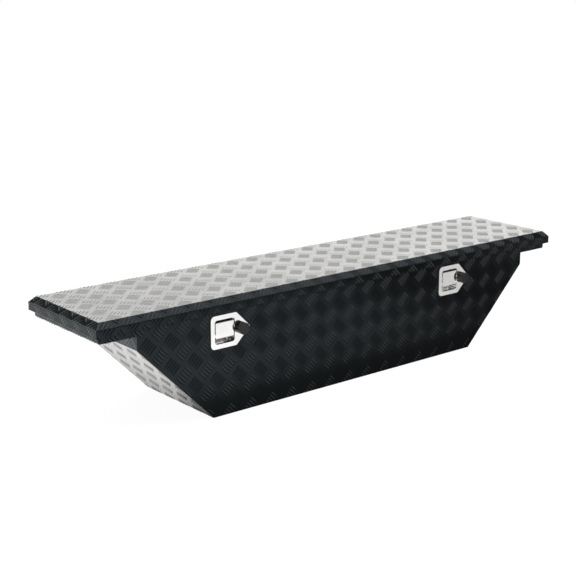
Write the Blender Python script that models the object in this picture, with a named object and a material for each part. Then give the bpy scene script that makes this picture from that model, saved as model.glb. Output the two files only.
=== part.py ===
"""Crossover truck tool box with angled ends, one lid and two paddle latches.

Metres, +Z up, +X along the length, -Y towards the latches. The origin is the centre of the tub's
underside. The box hangs on the truck's bed rails by its two wings, whose saddles face down.
"""

import math

import bmesh
import bpy
from mathutils import Vector

mm = 0.001
GAP = 0.3 * mm  # between pieces that touch

# Tub, seen from the front: half lengths and heights of the folded sheet's outer face
TUB_DEPTH = 330.7 * mm
FLOOR_HALF = 510.7 * mm
UPRIGHT_HALF = 751.3 * mm
WING_HALF = 865.2 * mm
UPRIGHT_FOOT = 241.8 * mm
SADDLE_Z = 280.7 * mm
RIM_Z = 306.7 * mm
SHEET = 2.0 * mm
BEND = 3.0 * mm  # inside radius of a bend
WING_CORNER = 6.0 * mm
RIM_WIDTH = 22.0 * mm
SEAL_WIDTH = 10.0 * mm
SEAL_INSET = 7.0 * mm  # from the rim's outer edge
SEAL_CORNER = 15.0 * mm

# Lid
LID_LENGTH = 1753.0 * mm
LID_DEPTH = 358.9 * mm
LID_TOP = 338.5 * mm
CHAMFER_IN = 15.7 * mm
CHAMFER_DROP = 16.5 * mm
SKIRT_DROP = 22.4 * mm
LEDGE = 20.0 * mm  # the edge frame's ledge under the top panel
LINER_Z = 316.8 * mm
LINER_SHEET = 1.2 * mm
LINER_INSET = 24.0 * mm

# Rear hinge
HINGE_Y = 171.4 * mm
HINGE_Z = 299.0 * mm
HINGE_LENGTH = 1680.0 * mm
KNUCKLES = 24
KNUCKLE_CLEAR = 0.04 * mm  # round a knuckle that is cut away
WEB_HALF = 3.0 * mm  # half the web that carries the knuckles on each leaf
PIN_END = 2.0 * mm  # of the pin past each end of the leaves
KNUCKLE_RADIUS = 4.2 * mm
HINGE_PIN_RADIUS = 1.9 * mm
LEAF = 1.5 * mm
LEAF_DROP = 30.0 * mm
LEAF_RISE = 20.0 * mm

# Gas struts, one inside each wing: distances forward of the hinge, and heights
STRUT_X = 820.0 * mm
STRUT_FOOT_AHEAD = 55.0 * mm
STRUT_FOOT_Z = 292.0 * mm
STRUT_HEAD_AHEAD = 280.0 * mm
STRUT_HEAD_Z = 307.0 * mm
STRUT_RADIUS = 7.5 * mm
STRUT_TUBE = (12.0 * mm, 151.0 * mm)  # start and end along the strut
ROD_RADIUS = 4.0 * mm
EYE_RADIUS = 7.0 * mm
EYE_HALF = 4.0 * mm
STUD_RADIUS = 3.0 * mm
STRUT_WALL = 1.5 * mm
TUBE_EASE = (2.0 * mm, 3.0 * mm)  # chamfer on the tube's solid end, inwards and along
STRUT_BASE = 8.0 * mm  # the tube's solid end
STRUT_MOUTH = 4.0 * mm  # the guide that closes the tube round the rod
PISTON = 8.0 * mm
PISTON_GAP = 18.0 * mm  # between the tube's start and the piston when the lid is shut
ROD_SHORT = 12.0 * mm  # from the rod's tip to the head's centre
BRACKET_OFF = 8.0 * mm  # from the strut's axis to the bracket's plate
BRACKET_HALF = 12.0 * mm
BRACKET_FLANGE = 14.0 * mm
STUD_REACH = 7.0 * mm  # the tub stud's tip beyond the strut's axis

# Latches: the centre of each dish, and the dish plate's outline about it
DISH_X = (-471.5 * mm, 409.5 * mm)
DISH_Z = 243.0 * mm
PLATE_HALF = 47.0 * mm
PLATE_LEFT = -46.5 * mm
PLATE_TIP = 86.5 * mm
PLATE_CORNER = 12.5 * mm
PLATE = 1.5 * mm
GASKET = 0.6 * mm
DISH_HALF_X = 33.5 * mm
DISH_HALF_Z = 34.0 * mm
DISH_CORNER = 8.0 * mm
DISH_WALL = 1.5 * mm
DISH_BACK = -140.0 * mm
PLATE_ROUNDS = (6.0 * mm, 4.0 * mm)  # at the plate's shoulders and at its tip
GASKET_INSET = 2.0 * mm
GASKET_CLEAR = 1.5 * mm
PANEL_CLEAR = 0.6 * mm  # round the dish and the lock, in the front panel
PADDLE_HALF = 30.5 * mm
PADDLE_SUNK = 0.05 * mm  # from the plate's face to the paddle's
PADDLE_ROUNDS = {1: 3.0 * mm, 2: 4.0 * mm, 5: 2.2 * mm, 6: 1.2 * mm}
PADDLE_SHEET = 1.8 * mm
PADDLE_HEAD, PADDLE_FOOT = 28.5 * mm, -21.0 * mm  # from the dish's centre
PADDLE_LIP = 10.0 * mm
PADDLE_BARREL = 4.0 * mm
PADDLE_Y, PADDLE_Z = -160.0 * mm, 268.0 * mm
TAIL_HALF = 2.0 * mm
TAIL_RISE = 17.0 * mm
TAIL_X = (-24.0 * mm, -16.0 * mm)  # the tail and the hook's finger, from the dish's centre
TAIL_SLOT_X = (-27.0 * mm, -13.0 * mm)
TAIL_SLOT_Y = (-164.0 * mm, -146.0 * mm)
TAIL_SLOT_Z = (-2.0 * mm, 3.0 * mm)  # from the top of the dish's hollow
PADDLE_PIN_HALF = 38.0 * mm
LATCH_PIN_RADIUS = 2.0 * mm
PIN_HOLE = 2.3 * mm

# Hook, behind each dish
HOOK_Y, HOOK_Z = -128.0 * mm, 258.0 * mm
HOOK_HUB = 5.0 * mm
HOOK_ARM = 4.0 * mm  # half the lever's thickness
HOOK_X = (-27.0 * mm, 12.0 * mm)
NOSE_HALF = 3.0 * mm
NOSE_TOP, NOSE_SHOULDER, NOSE_CATCH = 300.0 * mm, 295.0 * mm, 291.0 * mm
NOSE_REACH = 4.0 * mm
FINGER_TOP, FINGER_FOOT = 285.0 * mm, 280.0 * mm
FINGER_GAP = 4.5 * mm  # from the paddle's axis to the finger's tip
STOP_X = (5.0 * mm, 11.0 * mm)  # the stop that the lock's cam stands in front of
STOP_Y = (-5.0 * mm, -2.0 * mm)  # from the hook's axis
STOP_FOOT = 246.0 * mm
BRACKET_X = (-30.0 * mm, 16.0 * mm)
BRACKET_Z = (252.0 * mm, 276.0 * mm)
CHEEK_Z = (250.0 * mm, 272.0 * mm)
CHEEK_BACK = -118.0 * mm
HOOK_PIN_X = (-32.0 * mm, 18.0 * mm)
SPRING_X = (-14.0 * mm, -5.0 * mm)
SPRING_RADIUS = 6.2 * mm
SPRING_WIRE = 0.6 * mm
SPRING_TURNS = 4

# Striker, under the lid
STRIKER_HALF = 13.0 * mm
STRIKER_Y = (-139.0 * mm, -137.0 * mm)
STRIKER_FOOT = 280.0 * mm
STRIKER_FLANGE = -112.0 * mm
WINDOW_HALF = 8.0 * mm
WINDOW_Z = (288.0 * mm, 303.0 * mm)

# How far a cutter runs past what it cuts
PAST = 5.0 * mm
BORE_PAST = 20.0 * mm
PIN_PAST = 40.0 * mm

# Lock, beside each dish
LOCK_DX = 55.5 * mm
LOCK_RADIUS = 9.2 * mm
LOCK_CLEAR = 0.4 * mm
COLLAR_DEPTH = 6.3 * mm
CAP_RADIUS = 17.0 * mm
CAP_DEPTH = 11.0 * mm
CAP_GAP = 0.4 * mm
CAP_EASE = 0.8 * mm  # chamfer round the cap's face and the collar's rim
CAP_RIM = (1.5 * mm, 0.9 * mm)  # chamfer round the cap's mouth, inwards and along
CAP_RECESS = (13.0 * mm, 5.0 * mm)  # radius and depth of the hollow over the keyhole
CAP_HINGE_DX = 20.0 * mm
CAP_HINGE_Y = -174.55 * mm
CAP_ARM_Y = (0.65 * mm, 3.05 * mm)  # the collar's arms, from the cap's hinge line
TAB_Y = (3.0 * mm, 1.2 * mm)  # the cap's tab, in front of the cap's mouth
TAB_INSET = 1.5 * mm
EAR_RADIUS = 2.2 * mm
EAR_BORE = 1.2 * mm
EAR_PIN = 0.9 * mm
EAR_Z = (3.8 * mm, 8.0 * mm)  # each ear's inner and outer height from the lock's centre
TAB_HALF = 3.5 * mm
KEYHOLE = (1.0 * mm, 4.0 * mm)  # half width and half height
KEY_DEPTH = 4.0 * mm
KEY_SUNK = 1.2 * mm  # from the collar's face to the barrel's
SPIGOT_SHOULDER, SPIGOT_TAIL = -138.3 * mm, -134.0 * mm
SPIGOT_RADIUS = 4.0 * mm
CAM_REACH = 49.0 * mm
CAM_HALF = 6.0 * mm
CAM_HEAD = 7.0 * mm
CAM_SHEET = 1.6 * mm
NUT_RADIUS = 14.5 * mm
NUT_DEPTH = 5.7 * mm

FRONT = -TUB_DEPTH / 2
BACK = TUB_DEPTH / 2
INNER_Y = TUB_DEPTH / 2 - SHEET - GAP
SKIRT_TOP = LID_TOP - CHAMFER_DROP
SKIRT_FOOT = SKIRT_TOP - SKIRT_DROP
PLATE_BACK = FRONT - GAP - GASKET - GAP
PLATE_FRONT = PLATE_BACK - PLATE


# ---------------------------------------------------------------- shapes


def clear_scene():
    for item in list(bpy.data.objects):
        bpy.data.objects.remove(item)


def solid(bm):
    """A closed mesh, with its faces pointing out, as an object."""
    bmesh.ops.recalc_face_normals(bm, faces=bm.faces)
    mesh = bpy.data.meshes.new("shape")
    bm.to_mesh(mesh)
    bm.free()
    item = bpy.data.objects.new("shape", mesh)
    bpy.context.scene.collection.objects.link(item)
    return item


def at(axis, a, b, along):
    """The point (a, b) of a section across an axis, at a place along that axis."""
    return {"X": (along, a, b), "Y": (a, along, b), "Z": (a, b, along)}[axis]


def prism(axis, outline, start, end):
    """An outline carried along an axis, with flat ends."""
    bm = bmesh.new()
    rings = [[bm.verts.new(at(axis, a, b, s)) for a, b in outline] for s in (start, end)]
    for ring in rings:
        bm.faces.new(ring)
    for i in range(len(outline)):
        j = (i + 1) % len(outline)
        bm.faces.new((rings[0][i], rings[0][j], rings[1][j], rings[1][i]))
    return solid(bm)


def box(x, y, z):
    """A block between two values on each axis, given in either order."""
    corners = [(x[0], y[0]), (x[1], y[0]), (x[1], y[1]), (x[0], y[1])]
    return prism("Z", corners, z[0], z[1])


def turned(axis, centre, profile, segments):
    """A profile of (radius, place along the axis) turned about an axis through centre."""
    bm = bmesh.new()
    rings = []
    for radius, along in profile:
        if radius == 0:
            rings.append([bm.verts.new(at(axis, centre[0], centre[1], along))])
            continue
        turns = [2 * math.pi * i / segments for i in range(segments)]
        rings.append([
            bm.verts.new(at(
                axis, centre[0] + radius * math.cos(t), centre[1] + radius * math.sin(t), along
            ))
            for t in turns
        ])
    closed = len(rings[0]) > 1
    for k in range(len(rings) if closed else len(rings) - 1):
        a, b = rings[k], rings[(k + 1) % len(rings)]
        for i in range(segments):
            j = (i + 1) % segments
            if len(a) == 1 and len(b) > 1:
                bm.faces.new((a[0], b[i], b[j]))
            elif len(b) == 1 and len(a) > 1:
                bm.faces.new((a[i], a[j], b[0]))
            elif len(a) > 1:
                bm.faces.new((a[i], a[j], b[j], b[i]))
    item = solid(bm)
    item.data.shade_smooth()
    item.data.set_sharp_from_angle(angle=math.radians(40))
    return item


def rod(axis, centre, radius, start, end, segments=16):
    profile = [(0, start), (radius, start), (radius, end), (0, end)]
    return turned(axis, centre, profile, segments)


def rounded(points, radii, steps=4):
    """The outline with the corners named in radii, by their place in the list, made round."""
    outline = []
    for i, point in enumerate(points):
        corner = Vector(point)
        if not radii.get(i):
            outline.append(tuple(corner))
            continue
        before = (Vector(points[i - 1]) - corner).normalized()
        after = (Vector(points[(i + 1) % len(points)]) - corner).normalized()
        half = before.angle(after) / 2
        centre = corner + (before + after).normalized() * radii[i] / math.sin(half)
        first = corner + before * radii[i] / math.tan(half) - centre
        last = corner + after * radii[i] / math.tan(half) - centre
        for k in range(steps + 1):
            share = k / steps
            angle = first.angle(last)
            arm = first * math.sin((1 - share) * angle) + last * math.sin(share * angle)
            outline.append(tuple(centre + arm / math.sin(angle)))
    return outline


def rectangle(x, z, half_x, half_z, radius=0.0):
    corners = [(x - half_x, z - half_z), (x + half_x, z - half_z),
               (x + half_x, z + half_z), (x - half_x, z + half_z)]
    return rounded(corners, {i: radius for i in range(4)})


def inward(path, thickness):
    """The path's other face, on the left of its direction, with mitred corners."""
    found = []
    for i, point in enumerate(path):
        here = Vector(point)
        ways = []
        if i > 0:
            ways.append((here - Vector(path[i - 1])).normalized())
        if i < len(path) - 1:
            ways.append((Vector(path[i + 1]) - here).normalized())
        normals = [Vector((-w.y, w.x)) for w in ways]
        mean = sum(normals, Vector((0, 0))).normalized()
        found.append(tuple(here + mean * thickness / mean.dot(normals[0])))
    return found


def combine(target, tool, operation):
    """Joins or cuts tool into target, and removes tool."""
    step = target.modifiers.new("step", "BOOLEAN")
    step.operation = operation
    step.object = tool
    bpy.context.view_layer.update()
    shown = target.evaluated_get(bpy.context.evaluated_depsgraph_get())
    target.data = bpy.data.meshes.new_from_object(shown)
    target.modifiers.clear()
    bpy.data.objects.remove(tool)


def join(target, *tools):
    for tool in tools:
        combine(target, tool, "UNION")
    return target


def cut(target, *tools):
    for tool in tools:
        combine(target, tool, "DIFFERENCE")
    return target


def material(name, colour, roughness, metallic):
    made = bpy.data.materials.new(name)
    made.use_nodes = True
    shader = made.node_tree.nodes["Principled BSDF"]
    shader.inputs["Base Color"].default_value = (*colour, 1.0)
    shader.inputs["Roughness"].default_value = roughness
    shader.inputs["Metallic"].default_value = metallic
    return made


FINISHES = {
    "gloss_black": ((0.012, 0.013, 0.014), 0.15, 0.0),
    "bright_tread": ((0.72, 0.72, 0.72), 0.22, 1.0),
    "liner_grey": ((0.30, 0.31, 0.32), 0.45, 0.9),
    "stainless": ((0.78, 0.77, 0.75), 0.08, 1.0),
    "zinc_steel": ((0.52, 0.51, 0.48), 0.35, 1.0),
    "spring_steel": ((0.35, 0.35, 0.36), 0.30, 1.0),
    "strut_black": ((0.02, 0.02, 0.02), 0.30, 0.0),
    "black_plastic": ((0.015, 0.016, 0.017), 0.38, 0.0),
    "seal_rubber": ((0.025, 0.025, 0.025), 0.80, 0.0),
    "foam_core": ((0.62, 0.55, 0.38), 0.90, 0.0),
}


def part(item, name, finish, on=None):
    """Names a finished piece, paints it, and hangs it on its pivot without moving it."""
    item.name = item.data.name = name
    item.data.materials.clear()
    item.data.materials.append(material(name, *FINISHES[finish]))
    if on is not None:
        item.data.transform(on.matrix_world.inverted())
        item.parent = on
    return item


def pivot(name, place, turn=0.0, on=None):
    """An empty on a joint's axis, turned about X."""
    empty = bpy.data.objects.new(name, None)
    bpy.context.scene.collection.objects.link(empty)
    empty.location = place
    empty.rotation_euler = (turn, 0, 0)
    if on is not None:
        bpy.context.view_layer.update()
        empty.parent = on
        empty.matrix_parent_inverse = on.matrix_world.inverted()
    bpy.context.view_layer.update()
    return empty


# ---------------------------------------------------------------- tub


def wrap_path():
    """The folded sheet's outer face from the left wing's rim to the right wing's rim."""
    left = [(-WING_HALF, RIM_Z), (-WING_HALF, SADDLE_Z), (-UPRIGHT_HALF, SADDLE_Z),
            (-UPRIGHT_HALF, UPRIGHT_FOOT), (-FLOOR_HALF, 0.0)]
    return left + [(-x, z) for x, z in reversed(left)]


def panel_outline():
    path = wrap_path()
    return rounded(path, {1: WING_CORNER, len(path) - 2: WING_CORNER})


def lock_hole(x, radius):
    return rod("Y", (x + LOCK_DX, DISH_Z), radius, FRONT - BORE_PAST, FRONT + BORE_PAST, 24)


def dish_hole(x, margin):
    """A cutter a little larger than the dish that passes through it."""
    outline = rectangle(
        x, DISH_Z, DISH_HALF_X + DISH_WALL + margin, DISH_HALF_Z + DISH_WALL + margin,
        DISH_CORNER + DISH_WALL + margin,
    )
    return prism("Y", outline, FRONT - BORE_PAST, FRONT + BORE_PAST)


def build_panels():
    front = prism("Y", panel_outline(), FRONT, FRONT + SHEET)
    for x in DISH_X:
        cut(front, dish_hole(x, PANEL_CLEAR), lock_hole(x, LOCK_RADIUS + PANEL_CLEAR))
    part(front, "front_panel", "gloss_black")
    part(prism("Y", panel_outline(), BACK - SHEET, BACK), "back_panel", "gloss_black")


def build_wrap():
    """Floor, slopes and wings: one folded run, parted at the floor's and the slopes' bends."""
    outer = wrap_path()
    inner = inward(outer, SHEET)

    def flat(i, name, finish):
        """The stretch from corner i to the next, mitred at both ends."""
        way = (Vector(outer[i + 1]) - Vector(outer[i])).normalized() * GAP / 2
        ends = [Vector(outer[i]) + way, Vector(outer[i + 1]) - way,
                Vector(inner[i + 1]) - way, Vector(inner[i]) + way]
        part(prism("Y", [tuple(p) for p in ends], -INNER_Y, INNER_Y), name, finish)

    flat(4, "floor_panel", "gloss_black")
    flat(3, "slope_left", "bright_tread")
    flat(5, "slope_right", "bright_tread")

    for side, name in ((-1, "wing_left"), (1, "wing_right")):
        foot = Vector((0, GAP / 2))
        loop = [outer[0], outer[1], outer[2], tuple(Vector(outer[3]) + foot),
                tuple(Vector(inner[3]) + foot), inner[2], inner[1], inner[0]]
        radii = {1: BEND + SHEET, 2: BEND, 5: BEND + SHEET, 6: BEND}
        outline = [(-side * x, z) for x, z in rounded(loop, radii)]
        part(prism("Y", outline, -INNER_Y, INNER_Y), name, "gloss_black")


def build_rim():
    """Bars inside the top edge, which carry the seal."""
    top = (RIM_Z - SHEET, RIM_Z)
    end = WING_HALF - SHEET - GAP
    long_half = end
    for side, name in ((-1, "rim_front"), (1, "rim_back")):
        across = (side * INNER_Y, side * (INNER_Y - RIM_WIDTH))
        part(box((-long_half, long_half), across, top), name, "gloss_black")
    short_half = INNER_Y - RIM_WIDTH - GAP
    for side, name in ((-1, "rim_left"), (1, "rim_right")):
        along = (side * end, side * (end - RIM_WIDTH + SHEET))
        part(box(along, (-short_half, short_half), top), name, "gloss_black")


def build_seal():
    """A hollow-section rubber seal, shown pressed flat by the closed lid."""
    far_x, far_y = WING_HALF - SEAL_INSET, BACK - SEAL_INSET
    foot, top = RIM_Z + GAP, LINER_Z - GAP
    ring = prism("Z", rectangle(0, 0, far_x, far_y, SEAL_CORNER), foot, top)
    hole = rectangle(0, 0, far_x - SEAL_WIDTH, far_y - SEAL_WIDTH, SEAL_CORNER - SEAL_WIDTH)
    cut(ring, prism("Z", hole, foot - PAST, top + PAST))
    part(ring, "weather_seal", "seal_rubber")


# ---------------------------------------------------------------- lid


def framed(profile):
    """A profile of (distance in from the lid's edge, height) run round the lid, mitred."""
    bm = bmesh.new()
    loops = []
    for inset, z in profile:
        x, y = LID_LENGTH / 2 - inset, LID_DEPTH / 2 - inset
        corners = ((-x, -y), (x, -y), (x, y), (-x, y))
        loops.append([bm.verts.new((a, b, z)) for a, b in corners])
    for k, here in enumerate(loops):
        following = loops[(k + 1) % len(loops)]
        for i in range(4):
            j = (i + 1) % 4
            bm.faces.new((here[i], here[j], following[j], following[i]))
    return solid(bm)


def build_lid(hinge):
    slope = Vector((CHAMFER_IN, CHAMFER_DROP)).normalized()
    skirt_inner_z = SKIRT_TOP - SHEET * (1 - slope.x) / slope.y
    ledge_top = LID_TOP - SHEET - GAP
    ledge_foot = ledge_top - SHEET
    chamfer_inner = SHEET + (ledge_foot - skirt_inner_z) * slope.x / slope.y
    profile = [
        (0, SKIRT_FOOT), (0, SKIRT_TOP), (CHAMFER_IN, LID_TOP), (CHAMFER_IN + GAP, ledge_top),
        (CHAMFER_IN + LEDGE, ledge_top), (CHAMFER_IN + LEDGE, ledge_foot),
        (chamfer_inner, ledge_foot), (SHEET, skirt_inner_z), (SHEET, SKIRT_FOOT),
    ]
    part(framed(profile), "lid_edge_frame", "gloss_black", hinge)

    def slab(inset, foot, top):
        x, y = LID_LENGTH / 2 - inset, LID_DEPTH / 2 - inset
        return box((-x, x), (-y, y), (foot, top))

    part(slab(CHAMFER_IN + 2 * GAP, LID_TOP - SHEET, LID_TOP), "lid_top_panel", "bright_tread",
         hinge)
    core_foot = LINER_Z + LINER_SHEET + GAP
    part(slab(LINER_INSET, core_foot, ledge_foot - GAP), "lid_core", "foam_core", hinge)
    part(slab(LINER_INSET, LINER_Z, LINER_Z + LINER_SHEET), "lid_liner", "liner_grey", hinge)


# ---------------------------------------------------------------- rear hinge


def knuckled(leaf, odd):
    """The leaf with its barrel, bored for the pin, with every second knuckle cut away."""
    half = HINGE_LENGTH / 2
    barrel = rod("X", (HINGE_Y, HINGE_Z), KNUCKLE_RADIUS, -half, half, 12)
    join(leaf, barrel)
    pitch = HINGE_LENGTH / KNUCKLES
    reach = KNUCKLE_RADIUS + KNUCKLE_CLEAR
    for k in range(KNUCKLES):
        if k % 2 == odd:
            start = -half + k * pitch - GAP / 2 - (mm if k == 0 else 0)
            end = -half + (k + 1) * pitch + GAP / 2 + (mm if k == KNUCKLES - 1 else 0)
            space = box((start, end), (HINGE_Y - reach, HINGE_Y + reach),
                        (HINGE_Z - reach, HINGE_Z + reach))
            cut(leaf, space)
    bore = rod("X", (HINGE_Y, HINGE_Z), HINGE_PIN_RADIUS + GAP, -half - mm, half + mm, 12)
    return cut(leaf, bore)


def build_hinge(hinge):
    half = HINGE_LENGTH / 2
    web = (HINGE_Z - WEB_HALF, HINGE_Z + WEB_HALF)

    near = BACK + GAP
    tub_leaf = box((-half, half), (near, near + LEAF), (HINGE_Z - LEAF_DROP, HINGE_Z))
    join(tub_leaf, box((-half, half), (near + LEAF / 2, HINGE_Y - WEB_HALF), web))
    part(knuckled(tub_leaf, 0), "hinge_leaf_tub", "stainless")

    far = LID_DEPTH / 2 - SHEET - GAP
    lid_leaf = box((-half, half), (far - LEAF, far), (HINGE_Z, HINGE_Z + LEAF_RISE))
    join(lid_leaf, box((-half, half), (HINGE_Y + WEB_HALF, far - LEAF / 2), web))
    part(knuckled(lid_leaf, 1), "hinge_leaf_lid", "stainless", hinge)

    pin = rod("X", (HINGE_Y, HINGE_Z), HINGE_PIN_RADIUS, -half - PIN_END, half + PIN_END, 12)
    part(pin, "hinge_pin", "zinc_steel")


# ---------------------------------------------------------------- gas struts


def strut_line():
    """The strut's foot and head when the lid is shut."""
    foot = Vector((0, HINGE_Y - STRUT_FOOT_AHEAD, STRUT_FOOT_Z))
    head = Vector((0, HINGE_Y - STRUT_HEAD_AHEAD, STRUT_HEAD_Z))
    return foot, head


def eye(x, along, neck_start, neck_end):
    """A flat eye across the strut at a place along it, with its neck."""
    ring = rod("X", (along, 0), EYE_RADIUS, x - EYE_HALF, x + EYE_HALF, 20)
    join(ring, rod("Y", (x, 0), ROD_RADIUS - GAP, neck_start, neck_end, 12))
    hole = rod("X", (along, 0), STUD_RADIUS + GAP, x - 2 * EYE_HALF, x + 2 * EYE_HALF, 16)
    return cut(ring, hole)


def build_strut(side, end, hinge):
    """Cylinder, rod and both brackets. The strut is made lying along Y, then turned."""
    foot, head = strut_line()
    length = (head - foot).length
    tilt = math.atan2(head.z - foot.z, head.y - foot.y)
    x = side * STRUT_X
    root = pivot("strut_pivot_" + end, (0, foot.y, foot.z), tilt)
    slide = pivot("strut_slide_" + end, (0, foot.y, foot.z), tilt, root)

    def lay(item, name, finish, on):
        item.data.transform(root.matrix_world)
        part(item, name + "_" + end, finish, on)

    start, stop = STRUT_TUBE
    ease, ease_along = TUBE_EASE
    outer, inner = STRUT_RADIUS, STRUT_RADIUS - STRUT_WALL
    mouth = ROD_RADIUS + GAP
    tube = turned("Y", (x, 0), [
        (0, start), (outer - ease, start), (outer, start + ease_along), (outer, stop - mm),
        (outer - mm, stop), (mouth, stop), (mouth, stop - STRUT_MOUTH),
        (inner, stop - STRUT_MOUTH), (inner, start + STRUT_BASE), (0, start + STRUT_BASE),
    ], 20)
    join(tube, eye(x, 0.0, EYE_RADIUS / 2, start + mm))
    lay(tube, "strut_cylinder", "strut_black", root)

    piston = start + PISTON_GAP
    tip = length - ROD_SHORT
    piston_rod = turned("Y", (x, 0), [
        (0, piston), (inner - GAP, piston), (inner - GAP, piston + PISTON),
        (ROD_RADIUS, piston + PISTON), (ROD_RADIUS, tip), (0, tip),
    ], 16)
    lay(piston_rod, "strut_rod", "stainless", slide)
    lay(eye(x, length, tip + GAP, length - EYE_RADIUS / 2), "strut_head_eye", "zinc_steel", slide)

    plate = side * (STRUT_X + BRACKET_OFF)
    plate_x = (plate, plate + side * SHEET)
    flange_x = (plate, plate + side * BRACKET_FLANGE)
    saddle_top = SADDLE_Z + SHEET + GAP
    stud_in = side * (STRUT_X - STUD_REACH)
    lower_y = (foot.y - BRACKET_HALF, foot.y + BRACKET_HALF)
    lower = box(plate_x, lower_y, (saddle_top, foot.z + BRACKET_OFF))
    join(
        lower,
        box(flange_x, lower_y, (saddle_top, saddle_top + SHEET)),
        rod("X", (foot.y, foot.z), STUD_RADIUS, *sorted((stud_in, plate + side * mm))),
    )
    part(lower, "strut_bracket_tub_" + end, "zinc_steel")

    roof = LINER_Z - GAP
    stud_tip = side * (STRUT_X + EYE_HALF + 2 * GAP)
    upper_y = (head.y - BRACKET_HALF, head.y + BRACKET_HALF)
    upper = box(plate_x, upper_y, (head.z - 2 * STUD_RADIUS, roof))
    join(
        upper,
        box(flange_x, upper_y, (roof - SHEET, roof)),
        rod("X", (head.y, head.z), STUD_RADIUS, *sorted((stud_tip, plate + side * mm))),
    )
    part(upper, "strut_bracket_lid_" + end, "zinc_steel", hinge)


# ---------------------------------------------------------------- latches


def plate_outline(x, inset):
    """The latch plate's five-sided outline, with its point towards +X."""
    half, left = PLATE_HALF - inset, PLATE_LEFT + inset
    tip = PLATE_TIP - inset * math.sqrt(2)
    shoulder = tip - half
    points = [(left, -half), (shoulder, -half), (tip, 0), (shoulder, half), (left, half)]
    shoulder_round, tip_round = PLATE_ROUNDS
    radii = {0: PLATE_CORNER, 1: shoulder_round, 2: tip_round, 3: shoulder_round, 4: PLATE_CORNER}
    return rounded([(x + a, DISH_Z + b) for a, b in points], radii)


def build_dish(x, end):
    dish = prism("Y", plate_outline(x, 0), PLATE_FRONT, PLATE_BACK)
    tray = rectangle(x, DISH_Z, DISH_HALF_X + DISH_WALL, DISH_HALF_Z + DISH_WALL,
                     DISH_CORNER + DISH_WALL)
    hollow = rectangle(x, DISH_Z, DISH_HALF_X, DISH_HALF_Z, DISH_CORNER)
    join(dish, prism("Y", tray, PLATE_FRONT + PLATE / 2, DISH_BACK))
    cut(
        dish,
        prism("Y", hollow, PLATE_FRONT - PAST, DISH_BACK - DISH_WALL),
        lock_hole(x, LOCK_RADIUS + LOCK_CLEAR),
        box([x + edge for edge in TAIL_SLOT_X], TAIL_SLOT_Y,
            [DISH_Z + DISH_HALF_Z + edge for edge in TAIL_SLOT_Z]),
        rod("X", (PADDLE_Y, PADDLE_Z), PIN_HOLE, x - PIN_PAST, x + PIN_PAST),
    )
    part(dish, "latch_plate_" + end, "stainless")

    gasket = prism("Y", plate_outline(x, GASKET_INSET), FRONT - GAP, FRONT - GAP - GASKET)
    cut(gasket, dish_hole(x, GASKET_CLEAR), lock_hole(x, LOCK_RADIUS + GASKET_CLEAR))
    part(gasket, "latch_gasket_" + end, "seal_rubber")


def build_paddle(x, end):
    """The pull, bent in at its lower edge, with a barrel on the pin and a tail behind it."""
    axle = pivot("paddle_pivot_" + end, (x, PADDLE_Y, PADDLE_Z))
    face = PLATE_FRONT + PADDLE_SUNK
    head, foot = DISH_Z + PADDLE_HEAD, DISH_Z + PADDLE_FOOT
    outer = [(PADDLE_Y + mm, head), (face, head), (face, foot), (face + PADDLE_LIP, foot)]
    inner = inward(outer, PADDLE_SHEET)
    loop = outer + inner[::-1]
    paddle = prism("X", rounded(loop, PADDLE_ROUNDS, 3), x - PADDLE_HALF, x + PADDLE_HALF)
    join(
        paddle,
        rod("X", (PADDLE_Y, PADDLE_Z), PADDLE_BARREL, x - PADDLE_HALF, x + PADDLE_HALF),
        box([x + edge for edge in TAIL_X], (PADDLE_Y - TAIL_HALF, PADDLE_Y + TAIL_HALF),
            (PADDLE_Z, PADDLE_Z + TAIL_RISE)),
    )
    cut(paddle, rod("X", (PADDLE_Y, PADDLE_Z), PIN_HOLE, x - PIN_PAST, x + PIN_PAST))
    part(paddle, "latch_paddle_" + end, "stainless", axle)
    pin = rod("X", (PADDLE_Y, PADDLE_Z), LATCH_PIN_RADIUS, x - PADDLE_PIN_HALF,
              x + PADDLE_PIN_HALF)
    part(pin, "paddle_pin_" + end, "zinc_steel")


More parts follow.
